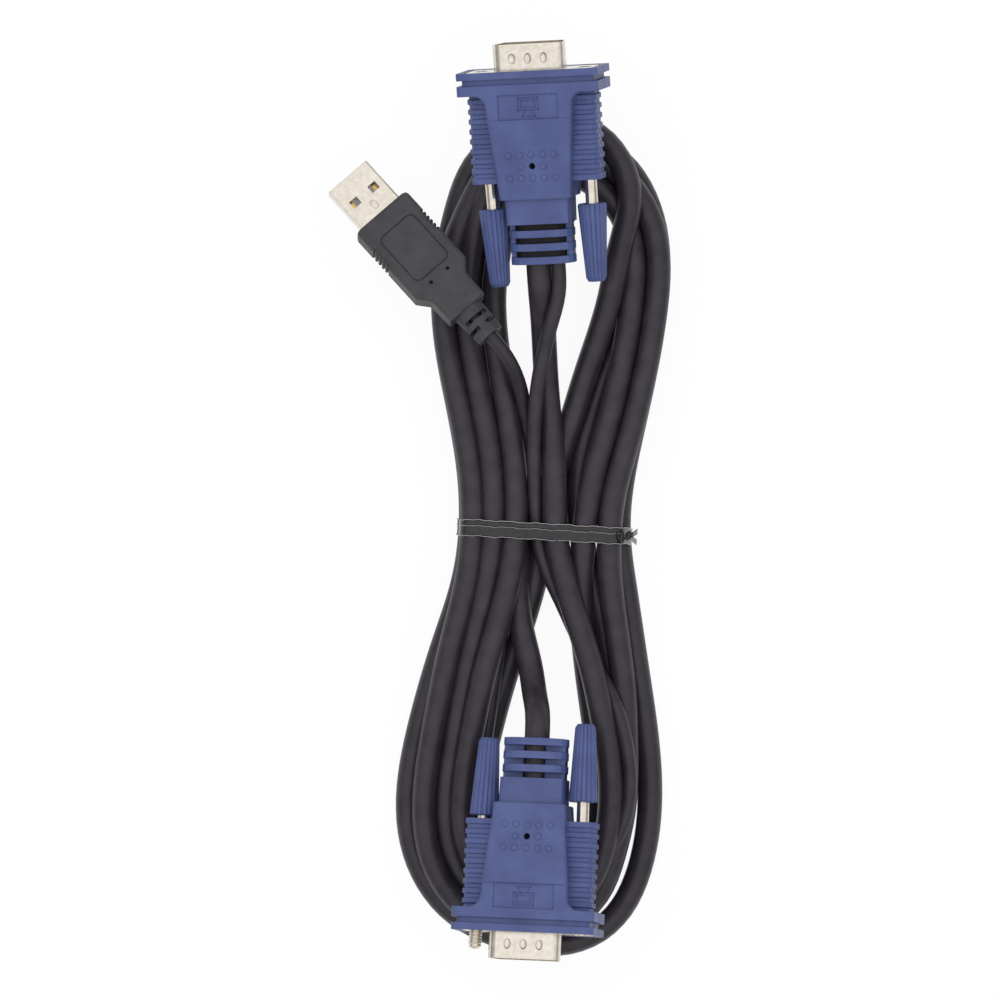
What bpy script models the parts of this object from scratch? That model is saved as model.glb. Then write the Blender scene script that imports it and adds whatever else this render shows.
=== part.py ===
# KVM cable, tied in a hank: a video and control cable about 2.3 metres long with a 15-pin
# D-sub plug on each end, and a USB plug on a thin lead that leaves the computer-end hood.
# The hank lies flat: +Z is up, +Y runs along the hank towards the computer-end plug.
# Lengths in the functions are in millimetres, and meshes are stored in metres.

import math

import bmesh
import bpy
from mathutils import Matrix, Vector

MM = 0.001
GAP = 0.3

# Cable
VIDEO_CABLE_R = 3.0
USB_CABLE_R = 1.75

# Hank: two layers of cable, drawn together at the tie
HANK_HEIGHT = 12.0
HANK_EDGE_R = 2.6
TIE_Y = -7.6
TIE_WIDTH = 4.0
TIE_THICK = 0.6
TIE_SLOPE = math.radians(-3.2)
WAIST_LEFT = -10.1
WAIST_RIGHT = 31.0

# Moulded hood of a D-sub plug, measured from its mating face (y = 0) back to the cable
HOOD_HALF_W = 17.25
HOOD_HALF_H = 7.7
LIP = 1.7
GROOVE = 1.4
GROOVE_DEPTH = 1.2
FLANGE = 2.4
FLANGE_END = -LIP - GROOVE - FLANGE
WING_END = -26.8
WING_HALF_W = 15.7
WING_HALF_H = 4.0
RIB_COUNT = 9
RIB_DEPTH = 0.4
CENTRE_HALF_W = 10.5
CENTRE_HALF_H = HOOD_HALF_H - 0.02
FLARE = 3.0
PANEL_STEP = -11.5
PANEL_END = -30.7
PANEL_FRONT_H = 7.95
PANEL_BACK_H = 6.3
NECK_END = -36.8
COMB_SLOT = 1.45
COMB_BAR = 1.75
COMB_SLOTS = 3
COMB_END = NECK_END - COMB_SLOTS * (COMB_SLOT + COMB_BAR)
COMB_HALF_W = 7.95
COMB_HALF_H = 4.9
WEB_HALF_W = 7.4
WEB_HALF_H = 2.0
PARTING_GAP = 0.15

# Label recess, rows of raised dots and moulding hole on the upper half
LABEL_HALF_W = 7.3
LABEL_FRONT = FLANGE_END - 0.1
LABEL_DEPTH = 0.35
DOT_R = 0.75
DOT_HEIGHT = 0.3
DOT_PITCH_X = 2.77
DOT_PITCH_Y = 2.8
DOT_FIRST_Y = -19.9
MOULD_HOLE_R = 0.8

# Bore at the back of each hood, as half-width and half-height, and the cables in it
BORES = {"pc": (6.65, 3.9), "kvm": (3.35, 3.3)}
MOULD_END = -29.4
CABLE_START = MOULD_END - 0.5
PC_VIDEO_X = -1.4
PC_USB_X = 3.8
SLEEVE = (6.35, 3.6)

# D-sub standard sizes
SCREW_SPACING = 24.99
D_WIDTH = 18.2
D_HEIGHT = 9.3
D_RADIUS = 2.0
D_SLANT = math.radians(10)
D_DEPTH = 6.3
SHEET = 0.45
PLATE_HALF_W = 15.4
PLATE_HALF_H = 6.25
PIN_R = 0.38
PIN_PITCH = 2.29
PIN_ROW = 1.98
PIN_SHIFT = 0.57

# Small move that puts the middle of the finished part on the frame's origin
CENTRING = (-0.144, 0.28, 0.0)

# Captive thumbscrews: a threaded metal shaft with a fluted plastic head moulded on
SHAFT_R = 1.5
THREAD_R = 1.42
TIP_OUT = 4.7
KNOB_R = 3.5
KNOB_END_R = 2.5
KNOB_LENGTH = 18.6
KNOB_FLUTES = 16
FLUTE_DEPTH = 0.1
CHANNEL_R = 1.8

# USB plug, standard type A
USB_HALF_W = 6.0
USB_HALF_H = 2.25
USB_WALL = 0.3
USB_EXPOSED = 12.0
USB_BODY_HALF_W = 7.95
USB_BODY_HALF_H = 4.0
USB_TAIL_END = -USB_EXPOSED - 31.3
USB_RELIEF_END = USB_TAIL_END - 8.3

# Where each plug lies on the hank: position of its mating face, then yaw, pitch and roll
PC_PLUG = {"at": (7.7, 102.6, 27.0), "yaw": 3.6, "pitch": 6.6, "roll": -13.0}
KVM_PLUG = {"at": (6.5, -103.1, 26.2), "yaw": 177.1, "pitch": 5.3, "roll": 11.0}
USB_PLUG = {"at": (-36.5, 77.0, 14.0), "yaw": 42.2, "pitch": -8.0, "roll": 8.7}

# How far each thumbscrew stands out of its hood towards the cable, and its lean inwards
SCREWS = {
    "pc_left": {"side": -1, "out": 6.0, "lean": 1.5},
    "pc_right": {"side": 1, "out": 5.6, "lean": 0.0},
    "kvm_left": {"side": 1, "out": 0.5, "lean": 1.2},
    "kvm_right": {"side": -1, "out": 4.6, "lean": 1.0},
}

BLUE = (0.075, 0.105, 0.29)
CABLE_BLACK = (0.018, 0.017, 0.019)
USB_BLACK = (0.032, 0.031, 0.033)
NICKEL = (0.78, 0.76, 0.72)


def clear_scene():
    for obj in list(bpy.data.objects):
        bpy.data.objects.remove(obj)


def material(name, colour, roughness, metallic=0.0):
    mat = bpy.data.materials.get(name)
    if mat is None:
        mat = bpy.data.materials.new(name)
        mat.use_nodes = True
        shader = mat.node_tree.nodes["Principled BSDF"]
        shader.inputs["Base Color"].default_value = (*colour, 1.0)
        shader.inputs["Roughness"].default_value = roughness
        shader.inputs["Metallic"].default_value = metallic
    return mat


def rounded_polygon(corners, radius, steps=2):
    """Closed outline through the corners, each turned into an arc of the given radius."""
    outline = []
    count = len(corners)
    for i, corner in enumerate(corners):
        here = Vector(corner)
        before = (Vector(corners[i - 1]) - here).normalized()
        after = (Vector(corners[(i + 1) % count]) - here).normalized()
        half = before.angle(after) / 2
        centre = here + (before + after).normalized() * (radius / math.sin(half))
        start = here + before * (radius / math.tan(half)) - centre
        turn = start.angle(here + after * (radius / math.tan(half)) - centre)
        if before.x * after.y - before.y * after.x > 0:
            turn = -turn
        for k in range(steps + 1):
            spun = Matrix.Rotation(turn * k / steps, 2) @ start
            outline.append((centre.x + spun.x, centre.y + spun.y))
    return outline


def rectangle(half_w, half_h, radius, steps=2, centre=(0.0, 0.0)):
    x, z = centre
    corners = [
        (x + half_w, z - half_h),
        (x + half_w, z + half_h),
        (x - half_w, z + half_h),
        (x - half_w, z - half_h),
    ]
    return rounded_polygon(corners, radius, steps)


def d_outline(width, height, radius, steps=3):
    """The D of the shell: its wide side on top, its ends slanted inwards below."""
    top = width / 2
    bottom = top - height * math.tan(D_SLANT)
    corners = [(bottom, -height / 2), (top, height / 2), (-top, height / 2), (-bottom, -height / 2)]
    return rounded_polygon(corners, radius, steps)


def circle(radius, sides, centre=(0.0, 0.0)):
    turns = [2 * math.pi * k / sides for k in range(sides)]
    return [(centre[0] + radius * math.cos(a), centre[1] + radius * math.sin(a)) for a in turns]


def oval(half_w, half_h, sides=20, power=2.6):
    outline = []
    for k in range(sides):
        c = math.cos(2 * math.pi * k / sides)
        s = math.sin(2 * math.pi * k / sides)
        x = math.copysign(abs(c) ** (2 / power), c) * half_w
        z = math.copysign(abs(s) ** (2 / power), s) * half_h
        outline.append((x, z))
    return outline


def make(name, bm, mat, parent=None):
    """Turn a bmesh in millimetres into an object in metres."""
    bmesh.ops.recalc_face_normals(bm, faces=bm.faces)
    bmesh.ops.scale(bm, vec=(MM, MM, MM), verts=bm.verts)
    mesh = bpy.data.meshes.new(name)
    bm.to_mesh(mesh)
    bm.free()
    obj = bpy.data.objects.new(name, mesh)
    obj.data.materials.append(mat)
    bpy.context.scene.collection.objects.link(obj)
    obj.parent = parent
    return obj


def loft(sections):
    """Closed solid through sections (y, outline), each outline with the same point count."""
    bm = bmesh.new()
    rings = [[bm.verts.new((x, y, z)) for x, z in outline] for y, outline in sections]
    for low, high in zip(rings, rings[1:]):
        for k in range(len(low)):
            j = (k + 1) % len(low)
            bm.faces.new((low[k], low[j], high[j], high[k]))
    bm.faces.new(rings[0])
    bm.faces.new(rings[-1])
    return bm


def prism(outline, y_from, y_to):
    return loft([(y_from, outline), (y_to, outline)])


def box(corner, opposite):
    """Block between two opposite corners, given in any order."""
    (x0, x1), (y0, y1), (z0, z1) = (sorted(pair) for pair in zip(corner, opposite))
    return prism([(x1, z0), (x1, z1), (x0, z1), (x0, z0)], y0, y1)


def slab(outline, z_low, z_high):
    """An outline in plan, raised from z_low to z_high."""
    bm = bmesh.new()
    rings = [[bm.verts.new((x, y, z)) for x, y in outline] for z in (z_low, z_high)]
    for k in range(len(outline)):
        j = (k + 1) % len(outline)
        bm.faces.new((rings[0][k], rings[0][j], rings[1][j], rings[1][k]))
    bm.faces.new(rings[0])
    bm.faces.new(rings[1])
    return bm


def combine(target, tool, operation):
    """Apply a Boolean with a tool solid (a bmesh) and drop the tool."""
    cutter = make("cutter", tool, target.data.materials[0], target.parent)
    cutter.hide_render = True
    cutter.display_type = "WIRE"
    mod = target.modifiers.new(operation.lower(), "BOOLEAN")
    mod.object = cutter
    mod.operation = operation
    mod.solver = "EXACT"
    graph = bpy.context.evaluated_depsgraph_get()
    done = bpy.data.meshes.new_from_object(target.evaluated_get(graph), depsgraph=graph)
    target.modifiers.remove(mod)
    target.data = done
    bpy.data.objects.remove(cutter)


def smooth(obj, angle=35):
    obj.data.shade_smooth()
    obj.data.set_sharp_from_angle(angle=math.radians(angle))


def empty(name, matrix, parent=None):
    holder = bpy.data.objects.new(name, None)
    bpy.context.scene.collection.objects.link(holder)
    holder.parent = parent
    holder.matrix_local = matrix
    return holder


def placement(spot):
    """World matrix of a plug: yaw about Z, then nose-up pitch, then roll about its length."""
    turn = Matrix.Rotation(math.radians(spot["yaw"]), 4, "Z")
    turn = turn @ Matrix.Rotation(math.radians(spot["pitch"]), 4, "X")
    turn = turn @ Matrix.Rotation(math.radians(spot["roll"]), 4, "Y")
    return Matrix.Translation(Vector(spot["at"]) * MM) @ turn


def smooth_curve(points, spacing):
    """Points about one spacing apart on a Catmull-Rom curve through the route's points."""
    pts = [Vector(p) for p in points]
    pts = [2 * pts[0] - pts[1]] + pts + [2 * pts[-1] - pts[-2]]
    found = []
    for a, b, c, d in zip(pts, pts[1:], pts[2:], pts[3:]):
        steps = max(1, round((c - b).length / spacing))
        for k in range(steps):
            t = k / steps
            bend = (2 * a - 5 * b + 4 * c - d) * t * t + (3 * b - a - 3 * c + d) * t ** 3
            found.append((2 * b + (c - a) * t + bend) / 2)
    return found + [pts[-2]]


# Hood: flanged front, ribbed wings, raised centre panel, neck and comb strain relief


def hood_front():
    """Lip, groove and flange, lofted as one block."""
    full = rectangle(HOOD_HALF_W, HOOD_HALF_H, 0.9)
    inner = rectangle(HOOD_HALF_W - GROOVE_DEPTH, HOOD_HALF_H - 0.9, 0.9)
    groove_end = -LIP - GROOVE
    return loft([
        (0.0, full),
        (-LIP, full),
        (-LIP, inner),
        (groove_end, inner),
        (groove_end, full),
        (FLANGE_END, full),
    ])


def hood_wings():
    """Both wings as one bar across the hood, with ribs round its outer sides."""
    pitch = (FLANGE_END - WING_END) / RIB_COUNT
    high = rectangle(WING_HALF_W, WING_HALF_H, 1.2, 1)
    low = rectangle(WING_HALF_W - RIB_DEPTH, WING_HALF_H - RIB_DEPTH, 1.0, 1)
    sections = [(FLANGE_END + 0.5, low)]
    for k in range(RIB_COUNT):
        back = FLANGE_END - (k + 1) * pitch
        sections += [(back + 0.64 * pitch, low), (back + 0.54 * pitch, high)]
        if k < RIB_COUNT - 1:
            sections += [(back + 0.1 * pitch, high), (back, low)]
    return loft(sections + [(WING_END, high)])


def hood_centre():
    """Centre block: flared out of the flange, stepped up once and drawn down to the neck."""
    flare_steps = 4
    sections = [(FLANGE_END + 0.5, CENTRE_HALF_W + FLARE, CENTRE_HALF_H)]
    for k in range(flare_steps + 1):
        turn = math.pi / 2 * k / flare_steps
        y = FLANGE_END - FLARE * (1 - math.cos(turn))
        sections.append((y, CENTRE_HALF_W + FLARE * (1 - math.sin(turn)), CENTRE_HALF_H))
    sections += [(PANEL_STEP, 10.3, CENTRE_HALF_H), (PANEL_STEP, 10.1, PANEL_FRONT_H)]
    sections += [(PANEL_END, 8.6, PANEL_BACK_H)]
    outlines = [(y, rectangle(w, h, 0.7)) for y, w, h in sections]
    outlines += [(PANEL_END, rectangle(7.8, 5.1, 1.1)), (NECK_END, rectangle(7.7, 4.9, 1.1))]
    return loft(outlines)


def stadium(y, centre_x, half_w, half_h):
    """Slot section with round ends."""
    straight = half_w - half_h
    outline = []
    for side in (1, -1):
        for k in range(7):
            turn = math.pi * (k / 6 - 0.5)
            x = centre_x + side * (straight + half_h * math.cos(turn))
            outline.append((x, side * half_h * math.sin(turn)))
    return (y, outline)


def comb_slots(body):
    """Slots cut down to the webs that join the comb's bars, and notches past the webs."""
    wide = COMB_HALF_W + 2
    high = COMB_HALF_H + 2
    for k in range(COMB_SLOTS):
        front = NECK_END - k * (COMB_SLOT + COMB_BAR)
        back = front - COMB_SLOT
        for sign in (-1, 1):
            combine(body, box((-wide, back, sign * WEB_HALF_H), (wide, front, sign * high)), "DIFFERENCE")
            notch = box((sign * WEB_HALF_W, back, -WEB_HALF_H - 1), (sign * wide, front, WEB_HALF_H + 1))
            combine(body, notch, "DIFFERENCE")


def screw_channels(body):
    """A channel for each thumbscrew, wider at the back, and a scoop that clears its knob."""
    for side in (-1, 1):
        x = side * SCREW_SPACING / 2
        back_x = x - side * 0.4
        channel = loft([
            stadium(1.0, x, CHANNEL_R + 0.001, CHANNEL_R),
            stadium(-0.5, x, CHANNEL_R + 0.001, CHANNEL_R),
            stadium(WING_END - 1.0, back_x, CHANNEL_R + 0.4, CHANNEL_R),
        ])
        combine(body, channel, "DIFFERENCE")
        scoop = prism(circle(KNOB_R + 0.7, 16, (back_x, 0.0)), WING_END, PANEL_END - 0.3)
        combine(body, scoop, "DIFFERENCE")


def hood_body(mat, bore):
    """Both halves as one block: outer form, the room inside it, and its bore for the cable."""
    body = make("hood", hood_front(), mat)
    combine(body, hood_wings(), "UNION")
    combine(body, hood_centre(), "UNION")
    comb_front = oval(COMB_HALF_W, COMB_HALF_H)
    comb_back = oval(COMB_HALF_W - 0.1, COMB_HALF_H - 0.2)
    combine(body, loft([(NECK_END + 0.5, comb_front), (COMB_END, comb_back)]), "UNION")

    # Recess for the metal flanges, then the room for the shells and the inner mould
    recess = prism(rectangle(PLATE_HALF_W + GAP, PLATE_HALF_H + GAP, 2.0), 1.0, -1.5)
    combine(body, recess, "DIFFERENCE")
    room = loft([
        (0.0, rectangle(9.9, 5.7, 1.0)),
        (-7.0, rectangle(9.8, 5.7, 1.0)),
        (-14.0, rectangle(9.0, 5.6, 1.0)),
        (-30.0, rectangle(7.0, 4.3, 1.0)),
    ])
    combine(body, room, "DIFFERENCE")
    combine(body, loft([stadium(-29.0, 0.0, *bore), stadium(COMB_END - 1.0, 0.0, *bore)]), "DIFFERENCE")
    screw_channels(body)
    comb_slots(body)
    return body


def panel_height(y):
    """Height of the centre panel's sloping top at a distance behind the mating face."""
    return PANEL_FRONT_H + (y - PANEL_STEP) * (PANEL_FRONT_H - PANEL_BACK_H) / (PANEL_STEP - PANEL_END)


def hood_top(mat, bore):
    """Upper half-shell, with its label recess, rows of dots and moulding hole."""
    half = hood_body(mat, bore)
    combine(half, box((-20, -60, -20), (20, 10, PARTING_GAP)), "DIFFERENCE")
    label_floor = CENTRE_HALF_H - LABEL_DEPTH
    label = box((-LABEL_HALF_W, PANEL_STEP + 0.05, label_floor), (LABEL_HALF_W, LABEL_FRONT, 9))
    combine(half, label, "DIFFERENCE")
    for row, columns in enumerate(((-2, -1, 0, 1, 2), (-1, 1), (-2, -1, 0, 1, 2))):
        y = DOT_FIRST_Y - DOT_PITCH_Y * row
        top = panel_height(y)
        for column in columns:
            dot = circle(DOT_R, 8, (DOT_PITCH_X * column, y))
            combine(half, slab(dot, top - 0.4, top + DOT_HEIGHT), "UNION")
    hole = circle(MOULD_HOLE_R, 8, (0.0, DOT_FIRST_Y - DOT_PITCH_Y))
    combine(half, slab(hole, 4.0, 9.0), "DIFFERENCE")
    return half


def hood_bottom(mat, bore):
    """Lower half-shell, plain outside."""
    half = hood_body(mat, bore)
    combine(half, box((-20, -60, -PARTING_GAP), (20, 10, 20)), "DIFFERENCE")
    return half


# Metal shells, insulator and pins


def screw_holes(obj):
    for side in (-1, 1):
        hole = prism(circle(THREAD_R + 0.38, 12, (side * SCREW_SPACING / 2, 0.0)), 1.0, -3.0)
        combine(obj, hole, "DIFFERENCE")


def front_shell(name, mat, parent):
    """Stamped flange with the D-shaped shroud that stands round the pins."""
    shell = make(name, prism(rectangle(PLATE_HALF_W, PLATE_HALF_H, 1.8), -0.1 - SHEET, -0.1), mat, parent)
    combine(shell, prism(d_outline(D_WIDTH, D_HEIGHT, D_RADIUS), -0.1 - SHEET, D_DEPTH), "UNION")
    inside = d_outline(D_WIDTH - 2 * SHEET, D_HEIGHT - 2 * SHEET, D_RADIUS - SHEET)
    combine(shell, prism(inside, -2.0, D_DEPTH + 1.0), "DIFFERENCE")
    screw_holes(shell)
    smooth(shell)


def rear_shell(name, mat, parent):
    """Second stamped flange, with a cup that closes the back of the insulator."""
    front = -0.85
    shell = make(name, prism(rectangle(PLATE_HALF_W, PLATE_HALF_H, 1.8), front - 0.4, front), mat, parent)
    combine(shell, prism(d_outline(D_WIDTH + 0.5, D_HEIGHT + 0.5, D_RADIUS), front - 0.4, -6.2), "UNION")
    inside = d_outline(D_WIDTH - 0.4, D_HEIGHT - 0.4, D_RADIUS - SHEET)
    combine(shell, prism(inside, 0.0, -7.0), "DIFFERENCE")
    screw_holes(shell)
    smooth(shell)


def pin_places():
    """Three staggered rows of five contacts."""
    places = []
    for row in (1, 0, -1):
        shift = PIN_SHIFT if row else -PIN_SHIFT
        places += [(shift + PIN_PITCH * (2 - k), PIN_ROW * row) for k in range(5)]
    return places


def insulator(name, mat, parent):
    outline = d_outline(D_WIDTH - 2 * SHEET - 0.7, D_HEIGHT - 2 * SHEET - 0.7, D_RADIUS - SHEET - 0.3)
    block = make(name, prism(outline, -6.6, 1.0), mat, parent)
    for place in pin_places():
        combine(block, prism(circle(PIN_R + GAP, 8, place), -8.0, 2.0), "DIFFERENCE")


def pin(name, place, mat, parent):
    """Contact pin with a rounded tip, its origin on its own axis."""
    tip = loft([(-8.4, circle(PIN_R, 8)), (4.85, circle(PIN_R, 8)), (5.15, circle(PIN_R * 0.45, 8))])
    obj = make(name, tip, mat, parent)
    obj.location = Vector((place[0], 0.0, place[1])) * MM
    smooth(obj)


def inner_mould(name, mat, parent, cables):
    """Soft block moulded round the soldered wires; round two cables it runs on as a sleeve."""
    block = loft([
        (-8.8, rectangle(8.6, 5.2, 1.0)),
        (-14.0, rectangle(8.3, 5.2, 1.0)),
        (MOULD_END, rectangle(6.7, 4.0, 1.0)),
    ])
    mould = make(name, block, mat, parent)
    if len(cables) > 1:
        sleeve = loft([stadium(-29.0, 0.0, *SLEEVE), stadium(COMB_END + 0.3, 0.0, *SLEEVE)])
        combine(mould, sleeve, "UNION")
        for x, radius in cables:
            hole = prism(circle(radius + GAP, 12, (x, 0.0)), MOULD_END - 0.2, COMB_END - 1.0)
            combine(mould, hole, "DIFFERENCE")


# Thumbscrews


def screw_shaft(name, mat, parent):
    sections = [
        (TIP_OUT, THREAD_R * 0.6),
        (TIP_OUT - 0.5, THREAD_R),
        (-3.6, THREAD_R),
        (-3.8, SHAFT_R),
        (WING_END - 12.0, SHAFT_R),
    ]
    shaft = make(name, loft([(y, circle(r, 14)) for y, r in sections]), mat, parent)
    smooth(shaft)


def flutes(radius):
    """Round outline with a narrow groove between each two finger ridges."""
    outline = []
    for k in range(KNOB_FLUTES):
        for part_turn, depth in ((0.0, FLUTE_DEPTH), (0.22, 0.0), (0.78, 0.0)):
            turn = 2 * math.pi * (k + part_turn) / KNOB_FLUTES
            r = radius * (1 - depth)
            outline.append((r * math.cos(turn), r * math.sin(turn)))
    return outline


def knob(name, mat, parent):
    """Tapered fluted head with a blind bore for the shaft and a screwdriver slot."""
    front = WING_END - GAP
    back = front - KNOB_LENGTH
    head = make(name, loft([
        (front, flutes(KNOB_R - 0.25)),
        (front - 0.4, flutes(KNOB_R)),
        (back + 0.9, flutes(KNOB_END_R)),
        (back, flutes(KNOB_END_R - 0.5)),
    ]), mat, parent)
    combine(head, prism(circle(SHAFT_R + GAP, 14), front + 1.0, WING_END - 12.0 - GAP), "DIFFERENCE")
    combine(head, box((-4, back - 1, -0.45), (4, back + 1.3, 0.45)), "DIFFERENCE")


def thumbscrew(end, side, spec, plug):
    """Shaft and knob on their own empty, which lies on the screw's axis."""
    place = Matrix.Translation(Vector((spec["side"] * SCREW_SPACING / 2, 0, 0)) * MM)
    place = place @ Matrix.Rotation(math.radians(-spec["side"] * spec["lean"]), 4, "Z")
    place = place @ Matrix.Translation(Vector((0, -spec["out"], 0)) * MM)
    axis = empty(f"{end}_screw_{side}_axis", place, plug)
    screw_shaft(f"{end}_screw_{side}", material("nickel", NICKEL, 0.25, 1.0), axis)
    knob(f"{end}_knob_{side}", material("blue_plastic", BLUE, 0.45), axis)


def vga_plug(end, spot, cables):
    """One 15-pin plug: hood halves, shells, insulator, pins, inner mould and thumbscrews."""
    blue = material("blue_plastic", BLUE, 0.45)
    nickel = material("nickel", NICKEL, 0.25, 1.0)
    plug = empty(f"{end}_plug", placement(spot))
    for name, maker in ((f"{end}_hood_top", hood_top), (f"{end}_hood_bottom", hood_bottom)):
        half = maker(blue, BORES[end])
        half.name = name
        half.parent = plug
        smooth(half, 30)
    front_shell(f"{end}_front_shell", nickel, plug)
    rear_shell(f"{end}_rear_shell", nickel, plug)
    insulator(f"{end}_insulator", material("insulator_blue", (0.08, 0.13, 0.42), 0.5), plug)
    inner_mould(f"{end}_inner_mould", material("inner_mould", CABLE_BLACK, 0.6), plug, cables)
    gold = material("gold_contact", (0.85, 0.62, 0.28), 0.25, 1.0)
    for k, place in enumerate(pin_places()):
        pin(f"{end}_pin_{k + 1:02d}", place, gold, plug)
    for key, spec in SCREWS.items():
        if key.startswith(end):
            thumbscrew(end, key.split("_")[1], spec, plug)


# USB plug


def usb_shell(plug):
    """Folded steel shell with its four latch windows."""
    nickel = material("nickel", NICKEL, 0.25, 1.0)
    outside = rectangle(USB_HALF_W, USB_HALF_H, 0.5)
    shell = make("usb_shell", prism(outside, 0.0, -USB_EXPOSED - 5.0), nickel, plug)
    inside = rectangle(USB_HALF_W - USB_WALL, USB_HALF_H - USB_WALL, 0.25)
    combine(shell, prism(inside, 1.0, -USB_EXPOSED - 6.0), "DIFFERENCE")
    for side in (-1, 1):
        window = box((side * 2.9 - 1.15, -7.1, -4), (side * 2.9 + 1.15, -5.1, 4))
        combine(shell, window, "DIFFERENCE")


def usb_tongue(plug):
    """Insulating tongue in the lower half of the shell, carrying the four contacts."""
    white = material("usb_white", (0.75, 0.75, 0.76), 0.5)
    low = -USB_HALF_H + USB_WALL + GAP
    tongue = make("usb_tongue", box((-5.35, -USB_EXPOSED - 4.8, low), (5.35, -0.6, 0.0)), white, plug)
    for x, tip in ((-3.5, -1.0), (-1.0, -2.0), (1.0, -2.0), (3.5, -1.0)):
        strip = box((x - 0.5, -USB_EXPOSED - 4.0, -0.3), (x + 0.5, tip, 0.16))
        combine(tongue, strip, "UNION")


def usb_body(plug):
    """Overmoulded grip with toothed sides, a narrower tail and a slotted strain relief."""
    black = material("usb_black", USB_BLACK, 0.55)
    front = -USB_EXPOSED
    w, h = USB_BODY_HALF_W, USB_BODY_HALF_H
    tooth = 1.2
    sections = [(front, w - 0.8, h - 0.6), (front - 0.3, w - 0.25, h - 0.2), (front - 0.9, w, h)]
    for k in range(5):
        y = front - 6.2 - tooth * k
        sections += [(y, w, h), (y - 0.1, w - 0.5, h), (y - 0.6, w - 0.5, h), (y - 0.75, w, h)]
    sections += [(front - 21.6, w, h), (front - 24.6, 5.5, h - 0.1)]
    sections += [(USB_TAIL_END + 0.3, 5.4, h - 0.3), (USB_TAIL_END, 5.1, h - 0.6)]
    body = make("usb_overmould", loft([(y, rectangle(a, b, 0.9)) for y, a, b in sections]), black, plug)
    relief_front, relief_back = oval(4.0, 3.3, 16, 2.2), oval(3.5, 3.1, 16, 2.2)
    combine(body, loft([(USB_TAIL_END + 0.5, relief_front), (USB_RELIEF_END, relief_back)]), "UNION")
    socket = rectangle(USB_HALF_W + GAP, USB_HALF_H + GAP, 0.5)
    combine(body, prism(socket, 0.0, front - 5.0 - GAP), "DIFFERENCE")
    hole = circle(USB_CABLE_R + GAP, 12)
    combine(body, prism(hole, USB_TAIL_END, USB_RELIEF_END - 1.0), "DIFFERENCE")
    relief_slots(body)

    # Engraved outline of the bare label panel, and the two moulding holes
    engraving = (h - 0.25, h + 1.0)
    island = (h - 0.6, h)
    for half_line, (low, high), operation in ((0.15, engraving, "DIFFERENCE"), (-0.15, island, "UNION")):
        outline = rectangle(5.2 + half_line, 7.0 + half_line, 1.5 + half_line, 3, (0.0, front - 12.0))
        combine(body, slab(outline, low, high), operation)
    for side in (-1, 1):
        hole = circle(0.5, 8, (2.6 * side, front - 21.0))
        combine(body, slab(hole, h - 1.2, h + 1.0), "DIFFERENCE")
    smooth(body)


def relief_slots(body):
    """One slot across the top and bottom of the strain relief, then one on each side."""
    width = 1.0
    across = USB_TAIL_END - 2.4
    beside = USB_TAIL_END - 4.9
    for sign in (-1, 1):
        combine(body, box((-3, across - width, sign), (3, across, sign * 5)), "DIFFERENCE")
        combine(body, box((sign, beside - width, -5), (sign * 5, beside, 5)), "DIFFERENCE")


def usb_plug():
    plug = empty("usb_plug", placement(USB_PLUG))
    usb_shell(plug)
    usb_tongue(plug)
    usb_body(plug)


# Hank, leads and tie

HANK_OUTLINE = [
    (8.4, 94.8), (-7.4, 85.0), (-14.4, 66.0), (-16.8, 50.4), (-15.8, 36.0), (-12.5, 19.2), (-10.2, 4.8),
    (WAIST_LEFT, -7.6), (-11.7, -19.2), (-16.6, -33.6), (-20.8, -48.0), (-24.2, -62.4), (-25.4, -74.4),
    (-23.6, -86.4), (-18.0, -97.0), (-9.0, -104.9), (4.6, -109.4), (15.0, -110.2), (25.0, -107.1),
    (33.2, -98.4), (37.6, -85.0), (38.9, -71.5), (38.0, -57.0), (35.6, -40.0), (32.8, -20.0),
    (WAIST_RIGHT, -7.6), (32.2, 4.8), (35.4, 19.2), (39.4, 38.4), (41.3, 56.7), (39.6, 70.0),
    (33.6, 82.2), (22.0, 92.0),
]
UPPER_WINDOW = [(18.6, 1.0), (22.5, 40), (19, 66), (10, 73), (1, 66), (-0.5, 40), (2.4, 1.0)]
LOWER_WINDOW = [(1.5, -22), (-1, -60), (3, -86), (9.5, -91), (16, -86), (20.5, -60), (12, -22)]

# Routes of the free stretches, from the plugs to the edges of the hank's windows
WINDOW_TOP = UPPER_WINDOW[0][1] + GAP
WINDOW_LOW = LOWER_WINDOW[0][1] - GAP
MIDDLE = HANK_HEIGHT / 2
PC_VIDEO_ROUTE = [
    (10.2, 44.5, 16.6), (10.6, 38, 12.4), (11.0, 30, 9.0), (11.6, 22, 7.0), (12.7, 12, 6.1),
    (13.3, 5, MIDDLE), (13.4, WINDOW_TOP, MIDDLE),
]
PC_USB_ROUTE = [
    (13.9, 46, 21.7), (12.3, 41.5, 20.7), (10.3, 34.5, 18.4), (8.8, 26, 15.3), (8.0, 15, 10.6),
    (8.2, 6, 8.5), (8.6, WINDOW_TOP, 8.3),
]
USB_PLUG_ROUTE = [
    (1.4, 34.6, 20.2), (3.9, 29.8, 16.6), (5.6, 25, 12.3), (6.5, 20.5, 9.0), (6.9, 14, 6.4),
    (6.8, 7, 4.9), (6.6, WINDOW_TOP, 4.7),
]
KVM_VIDEO_ROUTE = [(8.3, -47, 14.5), (7.4, -40, 9.5), (5.8, -30, 6.2), (5.5, WINDOW_LOW, MIDDLE)]


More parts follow.
